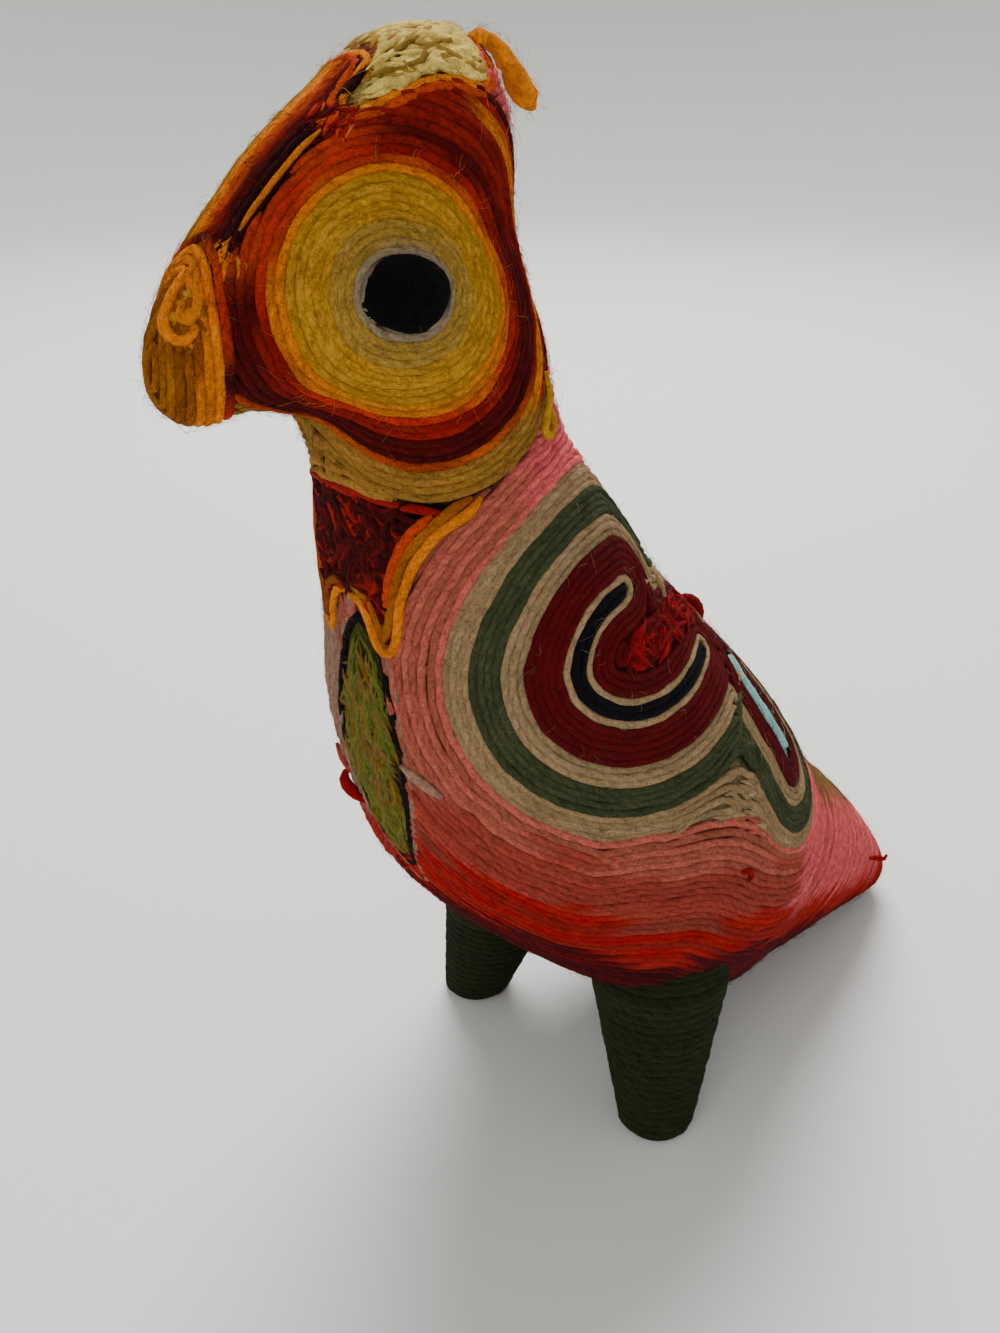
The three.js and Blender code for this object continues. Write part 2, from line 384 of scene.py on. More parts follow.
hook = seen_along(WING_HOOK)
core = seen_along(WING_CORE)
stripe = seen_along(TAIL_STRIPE)
pupil = seen_along(PUPIL)
leaf_right = seen_along(LEAF_RIGHT)
leaf_left = seen_along(LEAF_LEFT)
forehead_line = seen_along(FOREHEAD_LINE)
crown_spine = seen_along(CROWN_SPINE)

# Distances over the surface from the pattern's curves. The rings round the eye are wide ones near
# the pupil, and round further out. Far from the wing's hook its pattern loses its corners.
CORE_START = 2.5 * PITCH
STRIPE_START = PITCH
WIDE_TO, ROUND_FROM = 6, 14
SOFT_FROM, SOFT_EDGE, SOFT_BAND, SOFT_ROUNDS = 17.0, 24.0, 3, 170


def from_edge(field, band):
    """Start values for a spread from where a field is zero: 0 below it, and its own value in a band."""
    return np.where(field < 0, 0, np.where(field < band, field, FAR))


eye_round = body.spread(both_sides(pupil))
eye_wide = body.spread(both_sides(seen_along(PUPIL_CORNERS)))
eye_way = eye_wide + ramp(eye_round, WIDE_TO, ROUND_FROM) * (eye_round - eye_wide)
core_way = body.spread(both_sides(core))
stripe_way = body.spread(both_sides(stripe))
hook_way = body.spread(both_sides(hook))
wing_sharp = np.minimum.reduce([hook_way, core_way + CORE_START, stripe_way + STRIPE_START])
wing_smooth = body.smooth(wing_sharp, SOFT_ROUNDS)
soft_edge = wing_smooth - SOFT_EDGE
wing_soft = np.where(soft_edge < 0, wing_smooth, SOFT_EDGE + body.spread(from_edge(soft_edge, SOFT_BAND)))
wing_way = wing_sharp + ramp(wing_sharp, SOFT_FROM, SOFT_EDGE) * (wing_soft - wing_sharp)

wide = np.abs(body.v[:, 0])
deep, high = body.v[:, 1], body.v[:, 2]

# Each mask is above zero inside its patch. The slants make a difference along an axis into about
# the distance over the surface.
HEAD_REACH = 26 * PITCH
BEAK_EDGE, BEAK_SWEEP, BEAK_SLANT = -81.0, 0.35, 0.95
LEAF_SLANT, LEAF_FRONT, LEAF_NONE = 0.35, -35, -20.0
COLLAR_SIDE = [
    (111.5, 6.6), (114.5, 9.3), (122, 11.9), (128, 13.6), (134, 15.4), (136.5, 17.6), (139, 19.5),
]
COLLAR_LOW, COLLAR_HIGH, COLLAR_BACK, COLLAR_SLANT = 111.0, 150.0, -47.0, 0.93
ARCH_TOP, ARCH_HALF, ARCH_DROP, ARCH_SLANT = 119.5, 6.3, 7.5, 0.8
CROWN_RADII = (1.3, 2.7, 4.0, 4.2, 3.6)
CROWN_OVER, CROWN_FAR = 2.2, -3.0  # from this point of the spine the crown reaches over to the far side
CROWN_BALLS, CROWN_DEPTH, BEAK_BAND, RIDGE_START = 40, 12, 2.5, 10.5 * PITCH
BAND_BACK, BAND_HALF, BAND_FRONT_WIDTH, BAND_BROW, BAND_NAPE = -46.0, 4.0, 12.0, 168.0, 140.0
BAND_FRONT, BAND_MARGIN = -62, 0.6

beak_in = (BEAK_EDGE - BEAK_SWEEP * wide - deep) * BEAK_SLANT
leaf_top, leaf_low = leaf_right[0][2], leaf_right[-1][2]
edge_right = np.interp(high, leaf_right[::-1, 2], leaf_right[::-1, 0])
edge_left = np.interp(high, leaf_left[::-1, 2], leaf_left[::-1, 0])
beyond = np.maximum(high - leaf_top, leaf_low - high)
leaf_in = np.minimum.reduce([edge_right - body.v[:, 0], body.v[:, 0] - edge_left, -beyond * LEAF_SLANT])
leaf_in = np.where(deep < LEAF_FRONT, leaf_in, LEAF_NONE)
collar_in = np.minimum.reduce([
    COLLAR_SLANT * (np.interp(high, *np.transpose(COLLAR_SIDE)) - wide),
    ARCH_SLANT * (high - ARCH_TOP + (wide / ARCH_HALF) ** 2 * ARCH_DROP),
    high - COLLAR_LOW,
    eye_way - HEAD_REACH,
    COLLAR_BACK - deep,
    COLLAR_HIGH - high,
])
crown_in = np.full(len(wide), -FAR)
for at in np.linspace(0, len(crown_spine) - 1, CROWN_BALLS):
    middle = np.array([np.interp(at, range(len(crown_spine)), crown_spine[:, k]) for k in range(3)])
    radius = np.interp(at, range(len(crown_spine)), CROWN_RADII)
    shares = (0, 0.25, 0.5, 0.75, 1) if at > CROWN_OVER else (0,)
    across = [middle + share * np.array([CROWN_FAR - 2 * middle[0], 0, 0]) for share in shares]
    for one in body.land(np.array(across))[0]:
        crown_in = np.maximum(crown_in, radius - np.linalg.norm(body.v - one, axis=1))
# Along the middle of the head, from beak to nape, the strands run front to back. The band starts at
# the light strand on the forehead, and reaches over to the far side.
line_order = np.argsort(forehead_line[:, 1])
ridge_y = np.r_[forehead_line[line_order, 1], BAND_BACK]
ridge_x = np.r_[forehead_line[line_order, 0], BAND_HALF]
over_ridge = np.interp(deep, ridge_y, ridge_x) - body.v[:, 0]
band_width = np.interp(deep, [BAND_FRONT, BAND_BACK], [BAND_FRONT_WIDTH, 2 * BAND_HALF])
ridge_in = np.minimum.reduce([
    over_ridge + BAND_MARGIN,
    band_width - over_ridge,
    high - np.where(deep > BAND_BACK, BAND_NAPE, BAND_BROW),
    -beak_in,
    -crown_in,
])
head_in = np.minimum.reduce([HEAD_REACH - eye_way, -beak_in, -crown_in, -ridge_in])
body_in = np.minimum.reduce([eye_way - HEAD_REACH, -collar_in, -leaf_in, -beak_in, -ridge_in])

# Colours by distance.
HEAD_RINGS = [
    (0, "black"), (4.6, "offwhite"), (6.9, "pale"), (10.6, "gold"), (17.0, "orange"), (18.8, "redorange"),
    (19.8, "red"), (21.4, "maroon"), (26.8, "redorange"), (27.8, "orange"), (28.8, "ring"),
]
BROW_RINGS = [(17.2, "orange"), (18.6, "redorange"), (19.8, "red"), (21.4, "maroon"), (23.6, "red")]
FRONT_RINGS = [(17.2, "orange"), (18.4, "redorange"), (20.0, "brick"), (24.5, "red"), (27.0, "maroon")]
NAPE_RINGS = [(27, "red"), (28.5, "orange"), (30, "red"), (31.5, "maroon")]
RIDGE = [
    (-FAR, "plum"), (2.3, "maroon"), (3.5, "red"), (4.8, "brick"), (5.9, "redorange"), (7.2, "orange"),
    (9.6, "gold"),
]
RIDGE_BACK = [(-FAR, "maroon"), (2.0, "red"), (4.5, "maroon"), (6.0, "redorange")]
BEAK_BANDS = [(0, "redorange"), (1.9, "orange"), (4.4, "amber")]
CROWN_BANDS = [(-FAR, "crown"), (11.0, "orange")]
WING_BANDS = [
    (0, "navy"), (1.3, "cream"), (2.5, "crimson"), (9.0, "cream"), (12.8, "green"), (18.0, "cream"),
    (23.2, "salmon"),
]
STRIPE_BANDS = [(0, "teal"), (2.0, "navy"), (3.1, "crimson")]

# Parts of the head, by height, depth and distance from the eye. Under the eye the rings shift down.
PUPIL_HEIGHT, PUPIL_FORWARD = pupil[0][2], pupil[0][1]
RINGS_DIFFER, BROW_FROM, FRONT_ABOVE = 17.2, 172, 3
NAPE_FROM, NAPE_BACK, NAPE_REACH = 150, -45, 27
CHIN_SHIFT, CHIN_START, CHIN_FULL = 1.0, 4, 18
CHIN_RINGS = (12, 17, 24.5, 28.5)  # the shift grows between the first two, and fades in the others
RIDGE_BACK_FROM = -47

# Parts of the body outside the wing's bands, which end at OUTER. The belt is a row of (depth,
# height), and the three dark reds end so far above or below it. The others are depths and heights.
OUTER, STRIPE_TO, STRIPE_GAP = 23.2, 9, 0.6
RED_BELT = [
    (-60, 72), (-52, 67.7), (-46, 62.6), (-39, 60.4), (-24, 50.8), (-4, 48.1), (26, 33.6), (50, 24.4),
    (75, 13),
]
ROSE_TO, VERMILION_TO, WINE_TO = 15, 4, -4.8
TAIL_FROM, TAIL_LOW, NECK_FROM, NECK_LOW = 17, 2, -42, 116
TOP_FROM, TOP_TO, TOP_LOW, TOP_HALF, TOP_MIDDLE, TOP_TAPER = 40, 72, 6, 19, 46, 0.4
TAIL_SPOT, SPOT_RADIUS = np.array([10.8, 63.8, 38.0]), 3.2
CHEST_ASIDE, CHEST_FRONT, CHEST_LOW, CHEST_HIGH = -4, -38, 74, 118


def wobble(p, size):
    """Streaks: how far a strand's colours run over their edges."""
    return size * (0.6 * rng.normal() + 0.6 * waves(len(p), STEP, STREAK_LENGTH, False))


def head_colours(distance, f, p):
    d = distance + wobble(p, 0.45) + 0.15 * rng.normal(size=len(p))
    grow_from, grow_to, fade_from, fade_to = CHIN_RINGS
    under = ramp(PUPIL_HEIGHT - p[:, 2], CHIN_START, CHIN_FULL)
    d = d - CHIN_SHIFT * under * ramp(d, grow_from, grow_to) * (1 - ramp(d, fade_from, fade_to))
    out = pick(HEAD_RINGS, d)
    brow = (p[:, 2] > BROW_FROM) & (d > RINGS_DIFFER)
    out[brow] = pick(BROW_RINGS, d)[brow]
    forward = p[:, 1] + wobble(p, 1.5) < PUPIL_FORWARD
    front = (p[:, 2] > PUPIL_HEIGHT + FRONT_ABOVE) & forward & (d > RINGS_DIFFER)
    out[front] = pick(FRONT_RINGS, d)[front]
    nape = (p[:, 2] > NAPE_FROM) & (p[:, 1] > NAPE_BACK) & (d > NAPE_REACH)
    out[nape] = pick(NAPE_RINGS, d)[nape]
    return out


def ridge_colours(distance, f, p):
    over = f["over_ridge"] + wobble(p, 0.3)
    out = pick(RIDGE, over)
    back = p[:, 1] + wobble(p, 2.0) > RIDGE_BACK_FROM
    out[back] = pick(RIDGE_BACK, over)[back]
    return out


def body_colours(distance, f, p):
    aside, depth, height = p.T
    out = pick(WING_BANDS, distance)
    by_stripe = (np.abs(f["stripe"] + STRIPE_START - f["wing"]) < STRIPE_GAP) & (distance < STRIPE_TO)
    out[by_stripe] = pick(STRIPE_BANDS, f["stripe"])[by_stripe]
    low = height - np.interp(depth, *np.transpose(RED_BELT)) + wobble(p, 1.6)
    outer = distance > OUTER
    for top, name in ((ROSE_TO, "rose"), (VERMILION_TO, "vermilion"), (WINE_TO, "wine")):
        out[outer & (low < top)] = code(name)
    tail = outer & (depth + wobble(p, 3.0) > TAIL_FROM) & (low > TAIL_LOW)
    neck = outer & (depth + wobble(p, 2.0) > NECK_FROM) & (height > NECK_LOW)
    out[tail | neck] = code("pink")
    half = TOP_HALF - TOP_TAPER * (depth - TOP_MIDDLE) + wobble(p, 1.5)
    top = outer & (depth > TOP_FROM) & (depth < TOP_TO) & (np.abs(aside) < half)
    out[top & (low > TOP_LOW)] = code("tan")
    out[np.linalg.norm(p - TAIL_SPOT, axis=1) < SPOT_RADIUS] = code("green")
    far_chest = outer & (aside < CHEST_ASIDE) & (depth < CHEST_FRONT)
    out[far_chest & (height > CHEST_LOW) & (height < CHEST_HIGH)] = code("palepink")
    return out


def beak_colours(distance, f, p):
    return pick(BEAK_BANDS, distance + wobble(p, 0.5))


def crown_colours(distance, f, p):
    return pick(CROWN_BANDS, distance)


# What the colourings read, and each region: the field that its strands follow, mask and colouring.
FIELDS = {"stripe": stripe_way, "wing": wing_way, "over_ridge": over_ridge}
REGIONS = {
    "body": (wing_way, body_in, body_colours),
    "head": (eye_way, head_in, head_colours),
    "ridge": (over_ridge + RIDGE_START, ridge_in, ridge_colours),
    "beak": (body.spread(from_edge(beak_in, BEAK_BAND)), beak_in, beak_colours),
    "crown": (CROWN_DEPTH - crown_in, crown_in, crown_colours),
}


# Strands.


def level_lines(field, level):
    """Rows of edge crossings where a field has a value, each with a mark that says if it is closed."""
    over = field > level
    tri = over[body.t]
    crossed = np.nonzero(tri.any(1) & ~tri.all(1))[0]
    nearby = {}
    for t in crossed:
        a, b, c = tri[t]
        ids = body.tri_edges[t]
        pair = [ids[i] for i, cut in enumerate((a != b, b != c, c != a)) if cut]
        for one, other in (pair, pair[::-1]):
            nearby.setdefault(int(one), []).append(int(other))
    left = set(nearby)
    ends = [e for e in nearby if len(nearby[e]) == 1]
    lines = []
    for start in ends + list(nearby):
        if start not in left:
            continue
        row = [start]
        left.discard(start)
        while True:
            following = [e for e in nearby[row[-1]] if e in left]
            if not following:
                break
            row.append(following[0])
            left.discard(following[0])
        closed = len(row) > 3 and row[0] in nearby[row[-1]]
        lines.append((np.array(row), closed))
    return lines


def inside_parts(points, values, closed):
    """The stretches of a row of points where values are above zero, cut where they cross it."""
    n = len(values)
    good = values > 0
    if good.all():
        return [(points, closed)]
    if not good.any():
        return []
    shift = int(np.argmin(good)) if closed else 0
    order = (np.arange(n + (1 if closed else 0)) + shift) % n
    parts, current = [], []
    for before, now in zip(np.r_[-1, order[:-1]], order):
        crossing = before >= 0 and good[before] != good[now]
        if crossing:
            share = values[before] / (values[before] - values[now])
            current.append(points[before] + share * (points[now] - points[before]))
        if good[now]:
            current.append(points[now])
        elif current:
            parts.append((np.array(current), False))
            current = []
    if current:
        parts.append((np.array(current), False))
    return parts


def evenly(points, closed, step=STEP):
    """Points at even steps along a row, after rounding its corners, and the step they got."""
    for _ in range(3):
        if closed:
            points = (np.roll(points, 1, 0) + 2 * points + np.roll(points, -1, 0)) / 4
        elif len(points) > 2:
            middle = (points[:-2] + 2 * points[1:-1] + points[2:]) / 4
            points = np.vstack([points[:1], middle, points[-1:]])
    loop = np.vstack([points, points[:1]]) if closed else points
    along = np.r_[0, np.cumsum(np.linalg.norm(np.diff(loop, axis=0), axis=1))]
    count = max(4 if closed else 3, int(round(along[-1] / step)) + (0 if closed else 1))
    at = np.linspace(0, along[-1], count, endpoint=not closed)
    even = np.stack([np.interp(at, along, loop[:, i]) for i in range(3)], 1)
    return even, along[-1] / (count if closed else count - 1)


def rounded(points, rounds=3):
    """A row of few points as a smooth one of many, through the same ends."""
    for _ in range(rounds):
        a, b = points[:-1], points[1:]
        cut = np.stack([a + 0.25 * (b - a), a + 0.75 * (b - a)], 1).reshape(-1, 3)
        points = np.vstack([points[:1], cut[1:-1], points[-1:]])
    return points


def waves(count, step, length_scale, closed):
    """A seeded smooth row of numbers, about -1 to 1."""
    at = np.arange(count) * step
    total = count * step
    out = np.zeros(count)
    for part in range(3):
        wanted = length_scale / (1 + part)
        turns = max(1, round(total / wanted)) if closed else total / wanted
        out += rng.normal() * np.sin(2 * np.pi * (turns * at / total + rng.random())) / (1.2 + part)
    return out * 0.7


def dyed_as(name, count, closed=False):
    return dyed(np.full(count, code(name)), closed)


def dyed(codes, closed=False):
    """Colours along a strand, drifting as those of hand-dyed wool do."""
    n = len(codes)
    drift = np.clip(0.45 + 0.55 * waves(n, STEP, DRIFT_LENGTH, closed) + 0.3 * rng.normal(), 0, 1)
    colours = PLAIN[codes] + (drift * SHARE[codes])[:, None] * (PARTNER[codes] - PLAIN[codes])
    tone = np.clip(1 + 0.12 * rng.normal(), 0.75, 1.3) * (1 + 0.08 * waves(n, STEP, TONE_LENGTH, closed))
    colours = colours * tone[:, None]
    for _ in range(4):
        if n > 2:
            colours[1:-1] = (colours[:-2] + 2 * colours[1:-1] + colours[2:]) / 4
    return colours


class Yarns:
    """Collects strands as closed tubes, and turns them into one mesh."""

    def __init__(self):
        self.v, self.f, self.uv, self.c, self.total = [], [], [], [], 0

    def add(self, points, normals, colours, closed=False, width=STRAND_WIDTH, height=STRAND_HEIGHT,
            lift=0.0, wander=0.10, rough=0.10, step=STEP, taper=0.45, ring=ROUND):
        """One strand with its middle on points, lifted along normals."""
        n, k = len(points), len(ring)
        if closed:
            ahead = np.roll(points, -1, 0) - np.roll(points, 1, 0)
        else:
            ahead = np.gradient(points, axis=0)
        ahead = unit(ahead)
        across = unit(np.cross(ahead, normals))
        out = np.cross(across, ahead)
        half_width = width / 2 * (1 + 0.09 * waves(n, step, 9, closed))
        half_height = height / 2 * (1 + 0.07 * waves(n, step, 7, closed))
        rise = lift + rough * (waves(n, step, 11, closed) + 0.8 * rng.normal())
        aside = wander * waves(n, step, 13, closed)
        middle = points + out * rise[:, None] + across * aside[:, None]
        size = np.ones(n)
        if not closed:
            size[0] = size[-1] = taper
            if n > 4:
                size[1] = size[-2] = 0.5 + 0.5 * taper
        angle = np.radians(ring)
        rings = (
            middle[:, None]
            + across[:, None] * (np.cos(angle)[None] * (half_width * size)[:, None])[..., None]
            + out[:, None] * (np.sin(angle)[None] * (half_height * size)[:, None])[..., None]
        )
        base = self.total
        self.v.append(rings.reshape(-1, 3))
        self.c.append(np.repeat(colours, k, axis=0))
        self.total += n * k
        i = np.arange(n if closed else n - 1)
        j = (i + 1) % n
        m = np.arange(k)
        m2 = (m + 1) % k
        quad = np.stack([
            base + i[:, None] * k + m[None],
            base + j[:, None] * k + m[None],
            base + j[:, None] * k + m2[None],
            base + i[:, None] * k + m2[None],
        ], -1).reshape(-1, 4)
        turn = max(1, round(n * step / TWIST)) * TWIST / (n * step) if closed else 1.0
        along = np.arange(n + 1) * step * turn / TWIST + (0 if closed else rng.random())
        around = np.arange(k + 1) / k
        u0, u1 = along[i][:, None] + 0 * m[None], along[i + 1][:, None] + 0 * m[None]
        v0, v1 = around[m][None] + 0 * u0, around[m + 1][None] + 0 * u0
        corners = [np.stack(pair, -1) for pair in ((u0, v0), (u1, v0), (u1, v1), (u0, v1))]
        self.f.extend(quad.tolist())
        self.uv.append(np.stack(corners, 2).reshape(-1, 2))
        if not closed:
            self.f.append([base + x for x in range(k)])
            self.f.append([base + (n - 1) * k + x for x in range(k)][::-1])
            self.uv.append(np.zeros((2 * k, 2)))

    def piece(self, name, material, slot):
        places = np.vstack(self.v)
        places[:, 2] = np.maximum(places[:, 2], ABOVE_FLOOR)
        mesh = mesh_of(name, places, self.f)
        uv = mesh.uv_layers.new(name="ply")
        uv.data.foreach_set("uv", np.vstack(self.uv).astype(np.float32).ravel())
        return finished(mesh, name, np.vstack(self.c), material)


def finished(mesh, name, colours, material):
    """A new piece of the bird, with a colour at each vertex."""
    rgba = np.ones((len(mesh.vertices), 4), np.float32)
    rgba[:, :3] = np.maximum(colours, 0)
    attribute = mesh.color_attributes.new("wool", "FLOAT_COLOR", "POINT")
    attribute.data.foreach_set("color", rgba.ravel())
    mesh.polygons.foreach_set("use_smooth", [True] * len(mesh.polygons))
    mesh.materials.append(material)
    obj = linked(name, mesh)
    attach(obj, "root")
    return obj


# Materials.


def wool_nodes(name):
    material = bpy.data.materials.new(name)
    material.use_nodes = True
    shader = material.node_tree.nodes["Principled BSDF"]
    shader.inputs["Roughness"].default_value = 0.95
    shader.inputs["Specular IOR Level"].default_value = 0.05
    shader.inputs["Sheen Weight"].default_value = 0.02
    shader.inputs["Sheen Roughness"].default_value = 0.6
    return material, material.node_tree, shader


def node_of(tree, kind, sockets, **settings):
    """A new node, with a value or a link for each of some sockets."""
    node = tree.nodes.new("ShaderNode" + kind)
    for name, value in settings.items():
        setattr(node, name, value)
    for socket, value in sockets.items():
        if isinstance(value, bpy.types.NodeSocket):
            tree.links.new(value, node.inputs[socket])
        else:
            node.inputs[socket].default_value = value
    return node


def math_node(tree, operation, *values):
    return node_of(tree, "Math", dict(enumerate(values)), operation=operation).outputs[0]


def noise(tree, vector, scale, detail, rough):
    sockets = {"Scale": scale, "Detail": detail, "Roughness": rough, "Vector": vector}
    return node_of(tree, "TexNoise", sockets).outputs["Fac"]


def scaled(tree, vector, scale):
    return node_of(tree, "VectorMath", {0: vector, 1: scale}, operation="MULTIPLY").outputs[0]


def weighted_sum(tree, start, *terms):
    """start + the sum of value × weight."""
    total = start
    for value, weight in terms:
        total = math_node(tree, "MULTIPLY_ADD", value, weight, total)
    return total


def wool_colour(tree):
    return node_of(tree, "VertexColor", {}, layer_name="wool").outputs["Color"]


def shade_and_bump(tree, shader, base, shade, relief, depth):
    """Sets the shader's colour to base × shade, and its relief."""
    tint = node_of(tree, "VectorMath", {0: base, "Scale": shade}, operation="SCALE")
    tree.links.new(tint.outputs[0], shader.inputs["Base Color"])
    bump = node_of(tree, "Bump", {"Strength": 0.9, "Distance": depth * MM, "Height": relief})
    tree.links.new(bump.outputs[0], shader.inputs["Normal"])


# Noise scales in turns per metre of the object, or per turn of the ply.
FINE, MOTTLE, BLOTCH = 1900.0, 500.0, 520.0
STREAKS, PLY_FIBRES = (2600.0, 700.0, 900.0), (4.0, 15.0, 1.0)


def spun_wool():
    """Yarn: the strand's own colour, a weak twist of two plies with painted shade in the grooves between
    them, and fibres that run along it.
    """
    material, tree, shader = wool_nodes("spun_wool")
    uv = node_of(tree, "UVMap", {}, uv_map="ply").outputs[0]
    along, around = node_of(tree, "SeparateXYZ", {0: uv}).outputs[:2]
    turn = math_node(tree, "MULTIPLY_ADD", around, 2.0, along)
    ply = math_node(tree, "COSINE", math_node(tree, "MULTIPLY", turn, 2 * math.pi))
    place = node_of(tree, "TexCoord", {}).outputs["Object"]
    fibre = noise(tree, scaled(tree, uv, PLY_FIBRES), 1.0, 3.0, 0.75)
    fine = noise(tree, place, FINE, 3.0, 0.8)
    mottle = noise(tree, place, MOTTLE, 3.0, 0.65)
    # The ply term darkens the colour in the grooves between the two plies: painted shade.
    shade = weighted_sum(tree, -0.95, (ply, 0.09), (fibre, 1.7), (fine, 1.5), (mottle, 0.7))
    relief = weighted_sum(tree, 0.0, (ply, 0.2), (fibre, 1.5), (fine, 1.6))
    shade_and_bump(tree, shader, wool_colour(tree), shade, relief, 0.42)
    return material


def matted_wool(name, dark=1.0, base=None):
    """Felted wool: blotches and short crossing fibres; a dark below 1 darkens it all as painted shade."""
    material, tree, shader = wool_nodes(name)
    place = node_of(tree, "TexCoord", {}).outputs["Object"]
    fine = noise(tree, place, FINE, 4.0, 0.8)
    blotch = noise(tree, place, BLOTCH, 3.0, 0.65)
    streak = noise(tree, scaled(tree, place, STREAKS), 1.0, 3.0, 0.75)
    if base is None:
        colour = wool_colour(tree)
    else:
        source = tree.nodes.new("ShaderNodeRGB")
        source.outputs[0].default_value = (*base, 1)
        colour = source.outputs[0]
    shade = weighted_sum(tree, -0.6, (blotch, 1.0), (streak, 0.9), (fine, 1.3))
    # dark scales the colour down: painted shade for wool that lies in the gaps under strands.
    shade = math_node(tree, "MULTIPLY", shade, dark)
    relief = weighted_sum(tree, 0.0, (fine, 1.6), (streak, 1.2), (blotch, 0.8))
    shade_and_bump(tree, shader, colour, shade, relief, 0.45)
    return material


YARN = spun_wool()
FELT = matted_wool("matted_wool")
# The padding is darkened by half: painted shade in the gaps between strands.
UNDER = matted_wool("padding_wool_gap_shade", dark=0.5)


# Camera, floor and light.


def aim(obj, place, way):
    obj.location = place
    obj.rotation_mode = "QUATERNION"
    obj.rotation_quaternion = way.to_track_quat("-Z", "Y")


def make_camera():
    data = bpy.data.cameras.new("camera")
    data.sensor_width = SENSOR
    data.lens = SENSOR * FOCAL_PIXELS / IMAGE_HEIGHT
    data.clip_start, data.clip_end = 0.01, 20
    camera = linked("camera", data)
    aim(camera, CAMERA_PLACE * MM, CAMERA_AHEAD)
    bpy.context.scene.camera = camera


# The floor and lights are in metres.
FLOOR_RADIUS, COVE_RADIUS, WALL_HEIGHT, FLOOR_SIDES = 1.2, 0.5, 1.6, 72
FLOOR_COLOUR = (0.78, 0.79, 0.78, 1)
LIGHT_TARGET = Vector((0, 0, 0.1))
# name: (place, size, power, colour)
LIGHTS = {
    "key": ((-0.55, 0.5, 1.0), 0.8, 22, (1.0, 0.98, 0.95)),
    "fill": ((0.5, -0.9, 0.7), 0.9, 4.5, (1.0, 0.97, 0.93)),
}
SKY_COLOUR, SKY_STRENGTH = (0.86, 0.86, 0.84, 1), 0.55


def make_floor():
    """A pale round floor that curves up into a low wall all round."""
    bend = [math.radians(a) for a in range(0, 91, 10)]
    profile = [(0.02, 0.0), (0.3, 0.0), (0.7, 0.0)]
    profile += [(FLOOR_RADIUS + COVE_RADIUS * math.sin(a), COVE_RADIUS * (1 - math.cos(a))) for a in bend]
    profile += [(FLOOR_RADIUS + COVE_RADIUS, WALL_HEIGHT)]
    vertices, faces = [], [list(range(FLOOR_SIDES))]
    for row, (radius, height) in enumerate(profile):
        for i in range(FLOOR_SIDES):
            angle = 2 * math.pi * i / FLOOR_SIDES
            vertices.append((radius * math.cos(angle), radius * math.sin(angle), height))
            if row > 0:
                here, after = row * FLOOR_SIDES + i, row * FLOOR_SIDES + (i + 1) % FLOOR_SIDES
                faces.append([here - FLOOR_SIDES, here, after, after - FLOOR_SIDES])
    mesh = bpy.data.meshes.new("floor")
    mesh.from_pydata(vertices, [], faces)
    mesh.polygons.foreach_set("use_smooth", [True] * len(mesh.polygons))
    material = bpy.data.materials.new("pale_table")
    material.use_nodes = True
    shader = material.node_tree.nodes["Principled BSDF"]
    shader.inputs["Base Color"].default_value = FLOOR_COLOUR
    shader.inputs["Roughness"].default_value = 0.6
    mesh.materials.append(material)
    linked("floor", mesh)


def make_lights():
    for name, (place, size, power, colour) in LIGHTS.items():
        data = bpy.data.lights.new(name, "AREA")
        data.shape = "DISK"
        data.size, data.energy, data.color = size, power, colour
        aim(linked(name, data), place, LIGHT_TARGET - Vector(place))
    world = bpy.data.worlds.new("studio")
    world.use_nodes = True
    background = world.node_tree.nodes["Background"]
    background.inputs["Color"].default_value = SKY_COLOUR
    background.inputs["Strength"].default_value = SKY_STRENGTH
    bpy.context.scene.world = world


make_camera()
make_floor()
make_lights()


# Covering the body.

SHORTEST, SHORTEST_EDGE = 3.0, 6  # shorter strands are left out
STRIPE_CLEAR, CORE_CLEAR = 2.1, 0.8
WING_FILLED = 6  # from this distance on, the wing's wide gaps are filled
CORE_PATCH, HOOK_CLEAR = 4.4, 2.2
PADDING_DEPTH = 0.25
MASK_END = 0.2  # wisps end where their mask gets down to this
THIN_SLOPE, THIN_EACH = 0.78, 4.5  # fields that rise less get a strand on each so many square mm
KEPT_OFF = 3  # only strands up to this one keep off the middle of the wing and its stripe


def lay(yarns, points, closed, field_value, paint, **form):
    """Lays one strand along a row of points near the surface."""
    even, step = evenly(points, closed)
    places, normals = body.land(even)
    codes = paint(np.full(len(places), field_value), body.read(FIELDS, places), places)
    yarns.add(places, normals, dyed(codes, closed), closed, step=step, **form)


def crossing_points(field, level, row, *others):
    """Places of a row of edge crossings, and the values of other fields there."""
    a, b = body.edges[row].T
    share = (level - field[a]) / (field[b] - field[a])
    places = body.v[a] + share[:, None] * (body.v[b] - body.v[a])
    return places, [other[a] + share * (other[b] - other[a]) for other in others]


def long_enough(points, least):
    return np.linalg.norm(np.diff(points, axis=0), axis=1).sum() > least


def cover(region, yarns_for, first=0, keep_off=None):
    """Lays strands over one region, each along a line of equal distance."""
    field, mask, paint = REGIONS[region]
    top = field[mask > 0].max()
    for index in range(first, int(top / PITCH) + 1):
        level = (index + 0.5) * PITCH
        limit = mask if keep_off is None or index > KEPT_OFF else np.minimum(mask, keep_off)
        for row, closed in level_lines(field, level):
            points, (values,) = crossing_points(field, level, row, limit)
            for part, whole in inside_parts(points, values, closed):
                if len(part) > 3 and long_enough(part, SHORTEST):
                    lay(yarns_for(part), part, whole, level, paint)


def trace(mask, level, name, yarns, **form):
    """Strands along a patch's edge, at a depth inside it, or outside it where that is below zero."""
    for row, closed in level_lines(mask, level):
        points, _ = crossing_points(mask, level, row)
        if long_enough(points, SHORTEST_EDGE):
            lay(yarns, points, closed, level, one_colour(name), **form)


